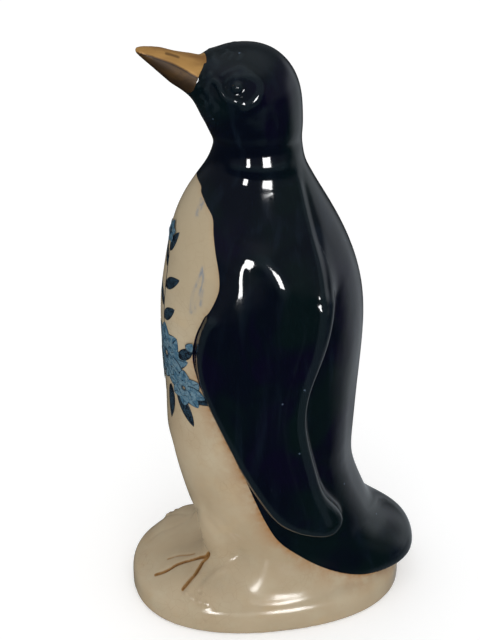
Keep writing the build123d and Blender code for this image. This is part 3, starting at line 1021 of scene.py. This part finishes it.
TABLE_SIZE = 3
TABLE_WHITE = (0.9, 0.9, 0.9)
TABLE_GLOW = 0.28
table = bmesh.new()
bmesh.ops.create_grid(table, x_segments=1, y_segments=1, size=TABLE_SIZE)
table_mesh = bpy.data.meshes.new("table")
table.to_mesh(table_mesh)
floor = placed("table", table_mesh)
paper = Shader("table_top")
sight = paper.add("ShaderNodeLightPath").outputs
seen = sight["Is Camera Ray"]
for ray in ("Is Glossy Ray", "Is Transmission Ray"):
    seen = paper.sum("MAXIMUM", seen, sight[ray])
glow = paper.ramp(seen, 0, 1, 0, TABLE_GLOW)
floor.data.materials.append(
    paper.finish(Base_Color=TABLE_WHITE, Roughness=0.8, Emission_Color=(1, 1, 1), Emission_Strength=glow)
)

TENT_RADIUS = 1.4
TENT_FOOT = 0.4 * MM
TENT_BLUE = (0.86, 0.93, 1.0, 1)
tent_shape = bmesh.new()
bmesh.ops.create_icosphere(tent_shape, subdivisions=5, radius=TENT_RADIUS)
for vert in tent_shape.verts:
    vert.co.z = max(vert.co.z, TENT_FOOT)
tent_mesh = bpy.data.meshes.new("tent")
tent_shape.to_mesh(tent_mesh)
tent = placed("tent", tent_mesh)
for ray in ("camera", "diffuse", "transmission", "volume_scatter", "shadow"):
    setattr(tent, f"visible_{ray}", False)
cloth = bpy.data.materials.new("tent_cloth")
cloth.use_nodes = True
cloth_tree = cloth.node_tree
cloth_tree.nodes.clear()
glow = cloth_tree.nodes.new("ShaderNodeEmission")
cloth_out = cloth_tree.nodes.new("ShaderNodeOutputMaterial")
cloth_tree.links.new(glow.outputs[0], cloth_out.inputs[0])
pale = cloth_tree.nodes.new("ShaderNodeAttribute")
pale.attribute_name = "paleness"
cloth_tree.links.new(pale.outputs["Fac"], glow.inputs["Strength"])
glow.inputs["Color"].default_value = TENT_BLUE
DARK_CLOTH, SKIRT, WALL_CARD, CEILING_CARD = 0.02, 0.08, 0.46, 0.2
# directions on the tent in degrees: the paler wall stands behind the bird, at 74 to 150 from its
# left side, and the paler ceiling begins 35 above the table
points = read(tent_mesh, "co")
turn = np.degrees(np.arctan2(points[:, 1], points[:, 0]))
rise = np.degrees(np.arcsin(np.clip(points[:, 2] / np.linalg.norm(points, axis=1), -1, 1)))
wall = soft_step(turn, 74, 100) * (1 - soft_step(turn, 125, 150)) * (1 - soft_step(rise, 8, 30))
ceiling = soft_step(rise, 35, 70)
paleness = DARK_CLOTH + SKIRT * soft_step(rise, 0, 12) + WALL_CARD * wall + CEILING_CARD * ceiling
keep(tent_mesh, "paleness", paleness)
tent_mesh.materials.append(cloth)

WINDOW_DISTANCE = 1.1
WINDOW_HEIGHT = 0.30
WINDOW_SLOPE = 0.16
MIDDLE_HEIGHT = 0.13
DAYLIGHT_WATTS = 3.2
PANE_WATTS_A_METRE = 21
for name, turn_degrees, wide in (("pane_a", -28, 0.15), ("pane_b", 12, 0.31), ("daylight", -8, 0.8)):
    pane = bpy.data.lights.new(name, "AREA")
    pane.shape = "RECTANGLE"
    pane.size = wide
    pane.size_y = WINDOW_HEIGHT
    pane.energy = DAYLIGHT_WATTS if name == "daylight" else PANE_WATTS_A_METRE * wide
    lamp = bpy.data.objects.new(name, pane)
    lamp.visible_glossy = name != "daylight"
    lamp.visible_diffuse = name == "daylight"
    direction = Vector((cos(radians(turn_degrees)), sin(radians(turn_degrees)), WINDOW_SLOPE)).normalized()
    lamp.location = Vector((0, 0, MIDDLE_HEIGHT)) + direction * WINDOW_DISTANCE
    lamp.rotation_euler = direction.to_track_quat("Z", "Y").to_euler()
    SCENE.objects.link(lamp)

# the room lights the pot at 0.85, and shows itself and mirrors as plain white
ROOM_LEVEL = 0.85
world = bpy.data.worlds.new("room")
bpy.context.scene.world = world
world.use_nodes = True
tree = world.node_tree
background = tree.nodes["Background"]
background.inputs["Color"].default_value = (1, 1, 1, 1)
path = tree.nodes.new("ShaderNodeLightPath")
seen = path.outputs["Is Camera Ray"]
for ray in ("Is Glossy Ray", "Is Transmission Ray"):
    either = tree.nodes.new("ShaderNodeMath")
    either.operation = "MAXIMUM"
    tree.links.new(seen, either.inputs[0])
    tree.links.new(path.outputs[ray], either.inputs[1])
    seen = either.outputs[0]
level = tree.nodes.new("ShaderNodeMapRange")
level.inputs["To Min"].default_value = ROOM_LEVEL
level.inputs["To Max"].default_value = 1.0
tree.links.new(seen, level.inputs["Value"])
tree.links.new(level.outputs[0], background.inputs["Strength"])

bpy.context.scene.view_settings.view_transform = "Standard"
